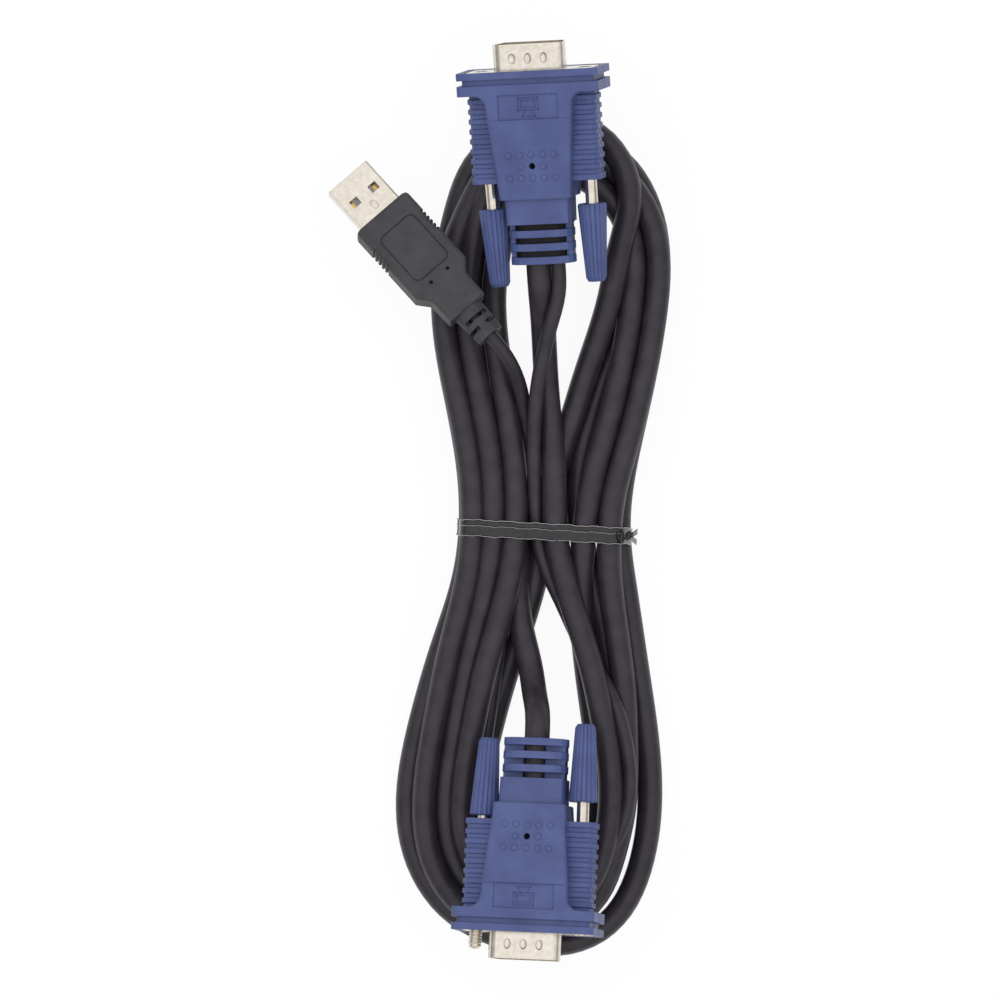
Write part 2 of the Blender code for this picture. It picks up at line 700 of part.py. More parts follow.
def hank(mat):
    """The hank's outer shape: an outline drawn in at the tie, with a window in each loop."""
    route = [(*p, 0.0) for p in [*HANK_OUTLINE, HANK_OUTLINE[0]]]
    outer = [(p.x, p.y) for p in smooth_curve(route, 9.0)][:-1]
    bm = bmesh.new()
    loops = [outer, rounded_polygon(UPPER_WINDOW, 0.8, 2), rounded_polygon(LOWER_WINDOW, 0.8, 2)]
    edges = []
    for outline in loops:
        verts = [bm.verts.new((x, y, 0.0)) for x, y in outline]
        edges += [bm.edges.new((a, b)) for a, b in zip(verts, verts[1:] + verts[:1])]
    filled = bmesh.ops.triangle_fill(bm, edges=edges, use_beauty=True)
    faces = [f for f in filled["geom"] if isinstance(f, bmesh.types.BMFace)]
    raised = bmesh.ops.extrude_face_region(bm, geom=faces)
    top = [v for v in raised["geom"] if isinstance(v, bmesh.types.BMVert)]
    bmesh.ops.translate(bm, verts=top, vec=(0, 0, HANK_HEIGHT))
    bmesh.ops.recalc_face_normals(bm, faces=bm.faces)
    rims = [e for e in bm.edges if len(e.link_faces) == 2 and e.calc_face_angle() > 1.2 and flat(e)]
    bmesh.ops.bevel(bm, geom=rims, offset=HANK_EDGE_R, segments=2, profile=0.5, affect="EDGES")
    obj = make("cable_hank", bm, mat)
    groove = box((-30, TIE_Y - 4.0, -1), (60, TIE_Y + 4.0, TIE_THICK + 2 * GAP))
    combine(obj, groove, "DIFFERENCE")
    smooth(obj, 50)


def flat(edge):
    return abs(edge.verts[0].co.z - edge.verts[1].co.z) < 1e-6


def lead(name, route, radius, mat):
    """A free stretch of cable: a tube along a smooth curve through the route."""
    points = smooth_curve(route, 2.5 * radius * 2)
    curve = bpy.data.curves.new(name, "CURVE")
    curve.dimensions = "3D"
    spline = curve.splines.new("POLY")
    spline.points.add(len(points) - 1)
    for point, place in zip(spline.points, points):
        point.co = (*(place * MM), 1.0)
    curve.bevel_depth = radius * MM
    curve.bevel_resolution = 3 if radius > 2 else 2
    curve.use_fill_caps = True
    obj = bpy.data.objects.new(name, curve)
    obj.data.materials.append(mat)
    bpy.context.scene.collection.objects.link(obj)


def hood_exit(spot, x):
    """Three points on a cable's way out of a hood's bore, in world millimetres."""
    matrix = placement(spot)
    ys = (CABLE_START, COMB_END, COMB_END - 6.0)
    return [matrix @ (Vector((x, y, 0)) * MM) / MM for y in ys]


def leads(mat):
    """The stretches of cable between the plugs and the hank, each ending at a window's edge."""
    lead("pc_video_lead", hood_exit(PC_PLUG, PC_VIDEO_X) + PC_VIDEO_ROUTE, VIDEO_CABLE_R, mat)
    lead("pc_usb_lead", hood_exit(PC_PLUG, PC_USB_X) + PC_USB_ROUTE, USB_CABLE_R, mat)
    matrix = placement(USB_PLUG)
    relief = [matrix @ (Vector((0, y, 0)) * MM) / MM for y in (USB_TAIL_END - GAP, USB_RELIEF_END)]
    lead("usb_plug_lead", relief + USB_PLUG_ROUTE, USB_CABLE_R, mat)
    switch = hood_exit(KVM_PLUG, 0.0) + KVM_VIDEO_ROUTE
    lead("kvm_video_lead", switch[::-1], VIDEO_CABLE_R, mat)


def tie(mat):
    """Flat tie round the waist, its two ends twisted together at the right."""
    x_mid = (WAIST_LEFT + WAIST_RIGHT) / 2
    half_w = (WAIST_RIGHT - WAIST_LEFT) / 2 + 3 * GAP
    half_h = (HANK_HEIGHT - TIE_THICK) / 2
    z_mid = half_h + TIE_THICK + GAP
    outer = rectangle(half_w + TIE_THICK, half_h + TIE_THICK, 2.4, 3, (0.0, z_mid))
    inner = rectangle(half_w, half_h, 1.8, 3, (0.0, z_mid))
    band = make("twist_tie", prism(outer, -TIE_WIDTH / 2, TIE_WIDTH / 2), mat)
    tail = []
    for k in range(9):
        turn = Matrix.Rotation(math.radians(60 * k), 2)
        corners = [turn @ Vector(p) for p in ((1.6, -0.5), (1.6, 0.5), (-1.6, 0.5), (-1.6, -0.5))]
        tail.append((half_w + 0.1 + 0.62 * k, [(p.x, p.y) for p in corners]))
    twist = loft(tail)
    bmesh.ops.rotate(twist, verts=twist.verts, matrix=Matrix.Rotation(math.radians(-90), 3, "Z"))
    bmesh.ops.translate(twist, verts=twist.verts, vec=(0, 0, z_mid + 1.5))
    combine(band, twist, "UNION")
    combine(band, prism(inner, -TIE_WIDTH, TIE_WIDTH), "DIFFERENCE")
    band.location = Vector((x_mid, TIE_Y, 0)) * MM
    band.rotation_euler.z = TIE_SLOPE


def build():
    clear_scene()
    black = material("cable_black", CABLE_BLACK, 0.42)
    vga_plug("pc", PC_PLUG, [(PC_VIDEO_X, VIDEO_CABLE_R), (PC_USB_X, USB_CABLE_R)])
    vga_plug("kvm", KVM_PLUG, [(0.0, VIDEO_CABLE_R)])
    usb_plug()
    hank(black)
    leads(black)
    tie(material("tie_black", (0.02, 0.02, 0.022), 0.5))
    for obj in bpy.data.objects:
        if obj.parent is None:
            obj.location += Vector(CENTRING) * MM


build()
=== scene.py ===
import math

import bmesh
import bpy
from mathutils import Matrix, Vector


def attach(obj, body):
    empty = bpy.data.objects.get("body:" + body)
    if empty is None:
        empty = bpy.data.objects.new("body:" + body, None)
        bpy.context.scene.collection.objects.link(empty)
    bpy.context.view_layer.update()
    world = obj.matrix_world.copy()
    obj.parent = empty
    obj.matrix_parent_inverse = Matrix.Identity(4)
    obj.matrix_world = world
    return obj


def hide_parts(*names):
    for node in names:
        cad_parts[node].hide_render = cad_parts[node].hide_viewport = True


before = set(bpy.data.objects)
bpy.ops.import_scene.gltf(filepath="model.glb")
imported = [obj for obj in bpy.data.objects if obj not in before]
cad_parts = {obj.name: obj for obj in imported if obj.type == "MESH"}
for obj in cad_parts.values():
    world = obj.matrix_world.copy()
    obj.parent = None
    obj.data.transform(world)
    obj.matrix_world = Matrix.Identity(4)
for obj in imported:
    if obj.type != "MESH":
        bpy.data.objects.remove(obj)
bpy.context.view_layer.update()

MM = 0.001
SHIFT = Vector((-0.144, 0.28, 0.0))

# Camera: straight above the hank, at the distance that fits the photograph's scale
CAMERA_HEIGHT = 2000.0
CAMERA_LENS = 298.6

# Sky: strength at the horizon and overhead, and the heights (sine of elevation) where it rises
HORIZON_LIGHT = 0.3
ZENITH_LIGHT = 1.2
SKY_RISE_START = 0.1
SKY_RISE_END = 0.95

# Lamps in metres and watts: name, place, side of the square, power
LAMPS = [
    ("key", (-0.9, 0.8, 1.6), 2.8, 15.0),
    ("fill", (1.1, -0.5, 1.4), 2.4, 8.0),
]

# Floor in metres, and how white it is to the camera and in reflections
FLOOR_HALF_SIZE = 4.0
FLOOR_DROP = 0.0002
FLOOR_GLOW = 0.93

# Cable sizes, the distance between a cord's points, rounds of smoothing for the turns and for a
# whole route, and the hank's waist at the tie
VIDEO_R = 3.0
USB_R = 1.75
VIDEO_STEP = 2.6
USB_STEP = 2.0
TURN_SMOOTHING = 12
ROUTE_SMOOTHING = 4
TIE_Y = -7.6
TIE_SLOPE = math.radians(-3.2)
WAIST_LEFT = -10.1
WAIST_RIGHT = 31.0

# Plug placements and sizes, as in the part's source
PC_PLUG = {"at": (7.7, 102.6, 27.0), "yaw": 3.6, "pitch": 6.6, "roll": -13.0}
KVM_PLUG = {"at": (6.5, -103.1, 26.2), "yaw": 177.1, "pitch": 5.3, "roll": 11.0}
USB_PLUG = {"at": (-36.5, 77.0, 14.0), "yaw": 42.2, "pitch": -8.0, "roll": 8.7}
CABLE_START = -29.9
NECK_MIDDLE = -38.0
COMB_END = -46.4
CLEAR_OF_COMB = 6.0
USB_CABLE_END = -43.6
USB_RELIEF_MIDDLE = -46.0
USB_RELIEF_END = -51.6
SCREW_SPACING = 24.99
SCREWS = {
    "pc_left": {"side": -1, "out": 6.0, "lean": 1.5},
    "pc_right": {"side": 1, "out": 5.6, "lean": 0.0},
    "kvm_left": {"side": 1, "out": 0.5, "lean": 1.2},
    "kvm_right": {"side": -1, "out": 4.6, "lean": 1.0},
}

# How far the two cables lie from the middle of the computer-end hood, the thin one against the other
PC_VIDEO_X = -1.4
PC_USB_X = 3.35

# The hank's outer edge, clockwise from the top
OUTLINE = [
    (8.4, 94.8), (22.0, 92.0), (33.6, 82.2), (39.6, 70.0), (41.3, 56.7), (39.4, 38.4), (35.4, 19.2),
    (32.2, 4.8), (WAIST_RIGHT, TIE_Y), (32.8, -20.0), (35.6, -40.0), (38.0, -57.0), (38.9, -71.5),
    (37.6, -85.0), (33.2, -98.4), (25.0, -107.1), (15.0, -110.2), (4.6, -109.4), (-9.0, -104.9),
    (-18.0, -97.0), (-23.6, -86.4), (-25.4, -74.4), (-24.2, -62.4), (-20.8, -48.0), (-16.6, -33.6),
    (-11.7, -19.2), (WAIST_LEFT, TIE_Y), (-10.2, 4.8), (-12.5, 19.2), (-15.8, 36.0), (-16.8, 50.4),
    (-14.4, 66.0), (-7.4, 85.0),
]
STATION_PLACES = {
    "tie_right": (WAIST_RIGHT, TIE_Y),
    "leave_right": (32.8, -20.0),
    "cross_right": (35.6, -40.0),
    "low_right": (38.6, -66.0),
    "low_corner": (36.6, -89.0),
    "bottom_right": (27.0, -106.0),
    "bottom_left": (-7.0, -106.0),
    "low_left": (-25.0, -70.0),
    "leave_left": (-11.7, -19.2),
    "tie_left": (WAIST_LEFT, TIE_Y),
    "high_left": (-16.8, 50.4),
    "corner_left": (-7.4, 85.0),
    "top": (10.0, 94.8),
    "shoulder_right": (25.3, 89.8),
    "corner_right": (33.6, 82.2),
    "high_right": (41.3, 56.7),
    "fall_right": (35.4, 19.2),
    "leave_tie": (32.2, 4.8),
}

# The winding: at each station in turn, how far the cable's centre lies inside the hank's edge,
# and its height. The first part runs clockwise, down the right side and up the left
CLOCKWISE = [
    # From the computer-end lead, as the innermost turn
    ("tie_right", 17.8, 9.85), ("leave_right", 16.6, 12.2), ("cross_right", 13.2, 12.9),
    ("low_right", 12.1, 14.0), ("bottom_right", 13.2, 12.6), ("bottom_left", 14.9, 10.5),
    ("low_left", 16.2, 11.4), ("leave_left", 13.8, 12.0), ("tie_left", 13.8, 9.6),
    ("high_left", 15.2, 9.0), ("top", 14.8, 12.0), ("high_right", 8.9, 9.2), ("fall_right", 8.9, 9.2),
    # Second turn, which dives under the others in the lower right
    ("tie_right", 10.8, 9.8), ("leave_right", 14.0, 6.6), ("cross_right", 14.8, 3.0),
    ("low_right", 14.8, 3.0), ("bottom_right", 15.6, 3.0), ("bottom_left", 10.4, 6.4),
    ("low_left", 12.5, 7.2), ("tie_left", 8.4, 9.85), ("high_left", 8.8, 9.3), ("top", 8.9, 12.4),
    ("high_right", 2.95, 8.9), ("fall_right", 3.1, 9.0),
    # Third turn, the outermost on top, and its crossing from the upper right to the lower left
    ("tie_right", 5.0, 9.85), ("leave_right", 6.4, 9.0), ("cross_right", 6.3, 8.4),
    ("low_right", 8.3, 9.0), ("low_corner", 10.0, 9.0), ("bottom_right", 9.6, 8.6),
    ("bottom_left", 5.6, 8.4), ("low_left", 7.0, 8.2), ("tie_left", 3.6, 9.75),
    ("high_left", 2.95, 9.0), ("corner_left", 7.0, 9.0), ("top", 5.0, 10.0),
    ("shoulder_right", 2.0, 13.2), ("corner_right", 4.5, 14.4), ("high_right", 13.5, 12.4),
    ("fall_right", 17.4, 6.4), ("tie_right", 20.2, 3.95),
]
# The last turns run back from there, down the left side and up the right
BACK = [
    # Lower layer, inside the last turn
    ("tie_left", 20.9, 3.95), ("leave_left", 19.6, 3.4), ("low_left", 19.8, 3.0),
    ("bottom_left", 12.0, 3.0), ("bottom_right", 9.6, 3.0), ("low_corner", 9.8, 3.0),
    ("low_right", 8.9, 3.0), ("leave_right", 9.6, 3.1), ("tie_right", 12.2, 3.95),
    ("leave_tie", 13.8, 3.4), ("fall_right", 13.0, 3.1), ("high_right", 8.6, 3.0), ("top", 6.0, 3.0),
    ("corner_left", 2.7, 3.0), ("high_left", 2.95, 3.0),
    # Lower layer, along the edge, then inwards to the switch-end lead
    ("tie_left", 3.2, 3.95), ("low_left", 2.95, 3.0), ("bottom_left", 3.0, 3.0),
    ("bottom_right", 2.9, 3.0), ("low_right", 2.6, 3.0),
    ("tie_right", 2.9, 3.95), ("high_right", 2.95, 3.0), ("corner_right", 3.2, 3.4),
    ("top", 8.0, 7.2), ("corner_left", 12.6, 4.0), ("high_left", 13.4, 3.0),
    ("tie_left", 14.9, 3.95),
]

# Free stretches, in the part's millimetres: from the computer-end hood to the first pass under
# the tie, and from the last pass to the switch-end hood
PC_VIDEO_LEAD = [
    (10.2, 44.5, 16.6), (10.6, 38, 12.4), (11.0, 30, 9.4), (11.6, 22, 8.6), (12.6, 12, 9.6),
    (13.1, 2, 10.6),
]
KVM_VIDEO_LEAD = [
    (4.4, -15.0, 5.2), (4.2, -22.3, 7.4), (4.9, -30.0, 8.9), (7.4, -40.0, 10.6), (8.3, -47.0, 14.5),
]
# The thin lead: to the tie, under the video cable and round the lower loop, and back to the plug
USB_LEAD = [
    (13.4, 46.0, 21.7), (12.0, 41.5, 20.7), (10.3, 34.5, 18.4), (8.8, 26.0, 15.3), (8.1, 15.0, 12.6),
    (8.2, 6.0, 10.6), (8.8, -7.6, 8.5), (11.2, -16.8, 8.3), (15.0, -25.0, 8.2), (18.6, -33.0, 8.2),
    (22.6, -39.5, 8.3), (26.4, -46.0, 11.0), (29.3, -54.0, 13.4), (31.2, -66.0, 13.8),
    (30.0, -76.5, 13.6), (25.0, -85.0, 11.6), (14.0, -90.2, 8.6), (4.0, -86.6, 7.9), (-2.0, -77.5, 7.9),
    (-3.9, -64.0, 7.9), (-2.0, -48.0, 7.9), (0.0, -34.0, 6.6), (0.9, -22.0, 4.6), (2.0, -7.6, 2.2),
    (4.6, 4.0, 3.6), (6.0, 12.0, 6.0), (6.3, 18.5, 8.6), (5.3, 25.0, 12.3), (3.9, 29.8, 16.2),
    (1.4, 34.6, 20.2),
]

# Twist tie: its way round the bundle across the hank (x and z), clockwise from the lower left, and
# its section: distance from the band's middle and rise of the surface, and its ridged strips
TIE_RING = [
    (-8.7, 0.6), (-9.8, 3.0), (-9.9, 9.6), (-8.8, 12.3), (-6.6, 13.0), (-1.6, 13.0), (3.7, 13.35),
    (8.6, 12.75), (13.2, 13.0), (17.0, 12.9), (20.2, 12.95), (26.3, 12.95), (29.2, 12.2), (30.6, 9.2),
    (31.8, 4.6), (31.0, 0.9), (28.5, 0.5), (10.4, 0.5),
]
TIE_SECTION = [
    (1.95, -0.42), (2.0, 0.08), (1.82, 0.12), (1.62, -0.1), (0.78, -0.1), (0.6, 0.12), (0.42, -0.1),
    (-0.6, -0.16), (-1.66, -0.1), (-1.84, 0.1), (-2.0, 0.06), (-1.95, -0.42),
]
# The ridged strips are painted pale grey as highlight
TIE_RIDGES = {1, 5, 9}

# Display drawing in the label recess: the recess floor's height, the drawing's centre, its line's
# width, and how far the line sinks in and stands out
RECESS_FLOOR = 7.33
MARK_CENTRE_Y = -7.8
MARK_LINE = 0.24
MARK_SINK = 0.05
MARK_RISE = 0.13

# Dimples pressed in the wide sides of a D-shaped shroud
SHROUD_HALF_HEIGHT = 4.65
DIMPLE_SPACING = 3.85
DIMPLE_OFFSET = 0.02
DIMPLE_Y = 2.83
DIMPLE_HALF_SIZE = (0.85, 1.25, 0.36)

# USB plug: its contacts' strips (outer and inner ones start apart), and the oval ring on its shell
CONTACT_X = (-3.5, -1.0, 1.0, 3.5)
CONTACT_WIDTH = 0.9
OUTER_CONTACT_START = -1.6
INNER_CONTACT_START = -2.6
CONTACT_END = -15.6
RING_CENTRE = (0.25, -9.4, 2.25)
RING_HALF_SIZE = (0.75, 1.1)
RING_WIRE_R = 0.14


def srgb(code):
    """Linear colour from a hexadecimal sRGB code."""
    values = [int(code[i:i + 2], 16) / 255 for i in (1, 3, 5)]
    return tuple(v / 12.92 if v <= 0.04045 else ((v + 0.055) / 1.055) ** 2.4 for v in values)


def placement(spot):
    """World matrix of a plug in metres: yaw, then nose-up pitch, then roll about its length."""
    turn = Matrix.Rotation(math.radians(spot["yaw"]), 4, "Z")
    turn = turn @ Matrix.Rotation(math.radians(spot["pitch"]), 4, "X")
    turn = turn @ Matrix.Rotation(math.radians(spot["roll"]), 4, "Y")
    return Matrix.Translation((Vector(spot["at"]) + SHIFT) * MM) @ turn


def in_plug(spot, *point):
    """A point of a plug's own frame, in the part's millimetres before centring."""
    return (placement(spot) @ (Vector(point) * MM)) / MM - SHIFT


# Materials


class Nodes:
    """A material's node tree, with short calls for the nodes that most materials use."""

    def __init__(self, name, base, roughness, metallic=0.0):
        self.mat = bpy.data.materials.new(name)
        self.mat.use_nodes = True
        self.tree = self.mat.node_tree
        self.shader = self.tree.nodes["Principled BSDF"]
        self.shader.inputs["Base Color"].default_value = (*base, 1.0)
        self.shader.inputs["Roughness"].default_value = roughness
        self.shader.inputs["Metallic"].default_value = metallic
        self.coords = self.tree.nodes.new("ShaderNodeTexCoord")

    def add(self, kind, **values):
        node = self.tree.nodes.new(kind)
        for key, value in values.items():
            if key in node.inputs:
                node.inputs[key].default_value = value
            else:
                setattr(node, key, value)
        return node

    def link(self, source, target):
        self.tree.links.new(source, target)

    def noise(self, scale, detail):
        node = self.add("ShaderNodeTexNoise", Scale=scale, Detail=detail)
        self.link(self.coords.outputs["Object"], node.inputs["Vector"])
        return node.outputs["Fac"]

    def ramp(self, fac, low, high):
        node = self.tree.nodes.new("ShaderNodeValToRGB")
        node.color_ramp.elements[0].position = 0.3
        node.color_ramp.elements[1].position = 0.7
        node.color_ramp.elements[0].color = (*low, 1.0)
        node.color_ramp.elements[1].color = (*high, 1.0)
        self.link(fac, node.inputs["Fac"])
        return node.outputs["Color"]

    def span(self, fac, low, high):
        node = self.tree.nodes.new("ShaderNodeMapRange")
        node.inputs["To Min"].default_value = low
        node.inputs["To Max"].default_value = high
        self.link(fac, node.inputs["Value"])
        return node.outputs["Result"]

    def bump(self, height, distance, strength, normal=None):
        node = self.add("ShaderNodeBump", Distance=distance, Strength=strength)
        self.link(height, node.inputs["Height"])
        if normal is not None:
            self.link(normal, node.inputs["Normal"])
        return node.outputs["Normal"]

    def soft_edges(self, radius):
        node = self.add("ShaderNodeBevel", Radius=radius)
        node.samples = 6
        return node.outputs["Normal"]


def blue_plastic():
    """Satin moulded plastic with a fine spark-eroded grain."""
    m = Nodes("blue_plastic", srgb("#424C7B"), 0.46)
    m.shader.inputs["Specular IOR Level"].default_value = 0.4
    m.link(m.ramp(m.noise(160, 3), srgb("#3E4978"), srgb("#4A5687")), m.shader.inputs["Base Color"])
    m.link(m.span(m.noise(900, 4), 0.4, 0.54), m.shader.inputs["Roughness"])
    m.link(m.bump(m.noise(5200, 3), 0.00003, 0.5, m.soft_edges(0.0003)), m.shader.inputs["Normal"])
    return m.mat


def cable_vinyl():
    """Near-black cable jacket, satin, with a faint mottling."""
    m = Nodes("cable_vinyl", srgb("#272229"), 0.4)
    m.shader.inputs["Specular IOR Level"].default_value = 0.36
    m.link(m.ramp(m.noise(260, 3), srgb("#262128"), srgb("#312C34")), m.shader.inputs["Base Color"])
    m.link(m.span(m.noise(420, 4), 0.34, 0.46), m.shader.inputs["Roughness"])
    m.link(m.bump(m.noise(2600, 3), 0.00004, 0.25), m.shader.inputs["Normal"])
    return m.mat


def nickel():
    """Bright nickel plate with faint drawing marks."""
    m = Nodes("nickel_plate", srgb("#DDD5C9"), 0.2, 1.0)
    m.link(m.ramp(m.noise(700, 3), srgb("#D2CABD"), srgb("#E3DCD1")), m.shader.inputs["Base Color"])
    m.link(m.span(m.noise(1600, 4), 0.14, 0.28), m.shader.inputs["Roughness"])
    m.link(m.bump(m.noise(3200, 3), 0.00001, 0.3, m.soft_edges(0.00012)), m.shader.inputs["Normal"])
    return m.mat


def usb_black():
    """Soft matte overmoulding with a fine grain."""
    m = Nodes("usb_grip", srgb("#38363A"), 0.55)
    m.shader.inputs["Specular IOR Level"].default_value = 0.4
    m.link(m.ramp(m.noise(300, 3), srgb("#333135"), srgb("#3D3B3F")), m.shader.inputs["Base Color"])
    m.link(m.span(m.noise(900, 4), 0.5, 0.64), m.shader.inputs["Roughness"])
    m.link(m.bump(m.noise(4600, 3), 0.00004, 0.6, m.soft_edges(0.0003)), m.shader.inputs["Normal"])
    return m.mat


def plain_plastic(name, code, roughness):
    """Plain moulding with a slight change of tone."""
    m = Nodes(name, srgb(code), roughness)
    base = Vector(srgb(code))
    m.link(m.ramp(m.noise(500, 2), base * 0.92, base * 1.05), m.shader.inputs["Base Color"])
    m.link(m.bump(m.noise(6000, 2), 0.00001, 0.3, m.soft_edges(0.0001)), m.shader.inputs["Normal"])
    return m.mat


def gold():
    """Thin gold plate on the contacts."""
    m = Nodes("gold_plate", srgb("#D8B060"), 0.25, 1.0)
    m.link(m.ramp(m.noise(900, 2), srgb("#CFA657"), srgb("#E2BC6E")), m.shader.inputs["Base Color"])
    return m.mat


def tie_plastic():
    """Glossy coating of the flat wire tie, creased; the pale strips on its ridges are a painted
    highlight, in a material of their own.
    """
    m = Nodes("tie_coating", srgb("#1F1C1E"), 0.22)
    m.link(m.ramp(m.noise(900, 3), srgb("#100E10"), srgb("#221F21")), m.shader.inputs["Base Color"])
    m.link(m.span(m.noise(1500, 3), 0.12, 0.32), m.shader.inputs["Roughness"])
    m.link(m.bump(m.noise(2200, 3), 0.00012, 0.6), m.shader.inputs["Normal"])
    return m.mat


# Curves


def smooth_curve(points, spacing, closed=False):
    """Points about one spacing apart on a Catmull-Rom curve through the given ones."""
    pts = [Vector(p) for p in points]
    if closed:
        pts = [pts[-1], *pts, pts[0], pts[1]]
    else:
        pts = [2 * pts[0] - pts[1], *pts, 2 * pts[-1] - pts[-2]]
    found = []
    for a, b, c, d in zip(pts, pts[1:], pts[2:], pts[3:]):
        steps = max(1, round((c - b).length / spacing))
        for k in range(steps):
            t = k / steps
            bend = (2 * a - 5 * b + 4 * c - d) * t * t + (3 * b - a - 3 * c + d) * t ** 3
            found.append((2 * b + (c - a) * t + bend) / 2)
    return found if closed else found + [pts[-2]]


def relax(points, rounds):
    """Even out a path's small kinks, with its ends held."""
    for _ in range(rounds):
        middle = [(a + 2 * b + c) / 4 for a, b, c in zip(points, points[1:], points[2:])]
        points = [points[0], *middle, points[-1]]
    return points


def evenly(points, spacing):
    """The same path with its points the same distance apart."""
    total = sum((b - a).length for a, b in zip(points, points[1:]))
    count = max(2, round(total / spacing))
    found = [points[0]]
    travelled = 0.0
    for a, b in zip(points, points[1:]):
        step = (b - a).length
        while len(found) < count and travelled + step >= len(found) * total / count:
            t = (len(found) * total / count - travelled) / step
            found.append(a.lerp(b, t))
        travelled += step
    return [*found, points[-1]]


def along_edge(edge, station, stops, step):
    """Path past the stops, one edge point at a time, with step 1 clockwise and -1 the other way."""
    count = len(edge)
    path = []
    for (name_a, inset_a, z_a), (name_b, inset_b, z_b) in zip(stops, stops[1:]):
        start = station[name_a]
        length = (station[name_b] - start) * step % count
        for k in range(length):
            t = k / length
            ease = t * t * (3 - 2 * t)
            at = (start + k * step) % count
            along = (edge[(at + 2) % count] - edge[at - 2]).normalized()
            inwards = Vector((along.y, -along.x, 0.0))
            point = edge[at] + inwards * (inset_a + (inset_b - inset_a) * ease)
            path.append(Vector((point.x, point.y, z_a + (z_b - z_a) * ease)))
    return path


def nearest(edge, place):
    """Index of the edge point nearest to a place on the floor."""
    gaps = [(point - Vector((*place, 0.0))).length for point in edge]
    return gaps.index(min(gaps))


def hank_path():
    """Centre line of the video cable's turns, from its first pass under the tie to its last."""
    edge = smooth_curve([(x, y, 0.0) for x, y in OUTLINE], 2.0, closed=True)
    station = {name: nearest(edge, place) for name, place in STATION_PLACES.items()}
    return along_edge(edge, station, CLOCKWISE, 1) + along_edge(edge, station, BACK, -1)


def cord(name, points, radius, sides, mat):
    """Round cable along a path given in the part's millimetres."""
    curve = bpy.data.curves.new(name, "CURVE")
    curve.dimensions = "3D"
    spline = curve.splines.new("POLY")
    spline.points.add(len(points) - 1)
    for point, place in zip(spline.points, points):
        point.co = (*((place + SHIFT) * MM), 1.0)
    curve.bevel_depth = radius * MM
    curve.bevel_resolution = sides
    curve.use_fill_caps = True
    obj = bpy.data.objects.new(name, curve)
    obj.data.materials.append(mat)
    bpy.context.scene.collection.objects.link(obj)
    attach(obj, "cable")
    return obj


def hood_route(spot, x):
    """A cable's way out of its hood, from the inner mould to clear of the comb."""
    stops = (CABLE_START, NECK_MIDDLE, COMB_END, COMB_END - CLEAR_OF_COMB)
    return [in_plug(spot, x, y, 0.0) for y in stops]


def smooth_route(points, first_step, last_step):
    """Route through the given points, curved, relaxed a little and evenly divided."""
    rough = evenly(smooth_curve(points, first_step), first_step)
    return evenly(relax(rough, ROUTE_SMOOTHING), last_step)


def video_cable(mat):
    """The video cable from hood to hood: its lead, its turns, of which each fourth point is
    enough, and its tail."""
    turns = relax(hank_path(), TURN_SMOOTHING)[::4]
    lead = hood_route(PC_PLUG, PC_VIDEO_X) + [Vector(p) for p in PC_VIDEO_LEAD]
    tail = [Vector(p) for p in KVM_VIDEO_LEAD] + hood_route(KVM_PLUG, 0.0)[::-1]
    path = smooth_route([*lead, *turns, *tail], 2.0, VIDEO_STEP)
    obj = cord("video_cable", path, VIDEO_R, 6, mat)
    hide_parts("cable_hank", "pc_video_lead", "kvm_video_lead")


def usb_cable(mat):
    """The thin lead from the computer-end hood to the USB plug's strain relief."""
    route = hood_route(PC_PLUG, PC_USB_X) + [Vector(p) for p in USB_LEAD]
    route += [in_plug(USB_PLUG, 0.0, y, 0.0) for y in (USB_RELIEF_END, USB_RELIEF_MIDDLE, USB_CABLE_END)]
    path = smooth_route(route, 1.5, USB_STEP)
    obj = cord("usb_cable", path, USB_R, 5, mat)
    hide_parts("pc_usb_lead", "usb_plug_lead")


# Meshes for the added detail


def mesh_object(name, bm, *mats):
    """Object of a finished bmesh, which is freed."""
    mesh = bpy.data.meshes.new(name)
    bm.to_mesh(mesh)
    bm.free()
    for mat in mats:
        mesh.materials.append(mat)
    obj = bpy.data.objects.new(name, mesh)
    bpy.context.scene.collection.objects.link(obj)
    return obj


def grid_mesh(name, rings, mat, closed_ends=True):
    """Surface through rings of points in millimetres, each ring closed on itself."""
    bm = bmesh.new()
    made = [[bm.verts.new(Vector(p) * MM) for p in ring] for ring in rings]
    for low, high in zip(made, made[1:]):
        for k in range(len(low)):
            j = (k + 1) % len(low)
            bm.faces.new((low[k], low[j], high[j], high[k]))
    if closed_ends:
        bm.faces.new(made[0])
        bm.faces.new(made[-1])
    bmesh.ops.recalc_face_normals(bm, faces=bm.faces)
    return mesh_object(name, bm, mat)


def smooth(obj, angle):
    """Shade smooth, with edges sharper than the angle in degrees kept."""
    obj.data.shade_smooth()
    obj.data.set_sharp_from_angle(angle=math.radians(angle))


def ride_in(obj, matrix, body):
    """Put a piece made in a plug's own frame where the plug lies, and tie it to its body."""
    obj.data.transform(matrix)
    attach(obj, body)


def screw_frame(key):
    """World matrix of a thumbscrew's axis, as in the part's source."""
    spec = SCREWS[key]
    plug = PC_PLUG if key.startswith("pc") else KVM_PLUG
    place = Matrix.Translation(Vector((spec["side"] * SCREW_SPACING / 2, 0, 0)) * MM)
    place = place @ Matrix.Rotation(math.radians(-spec["side"] * spec["lean"]), 4, "Z")
    place = place @ Matrix.Translation(Vector((0, -spec["out"], 0)) * MM)
    return placement(plug) @ place


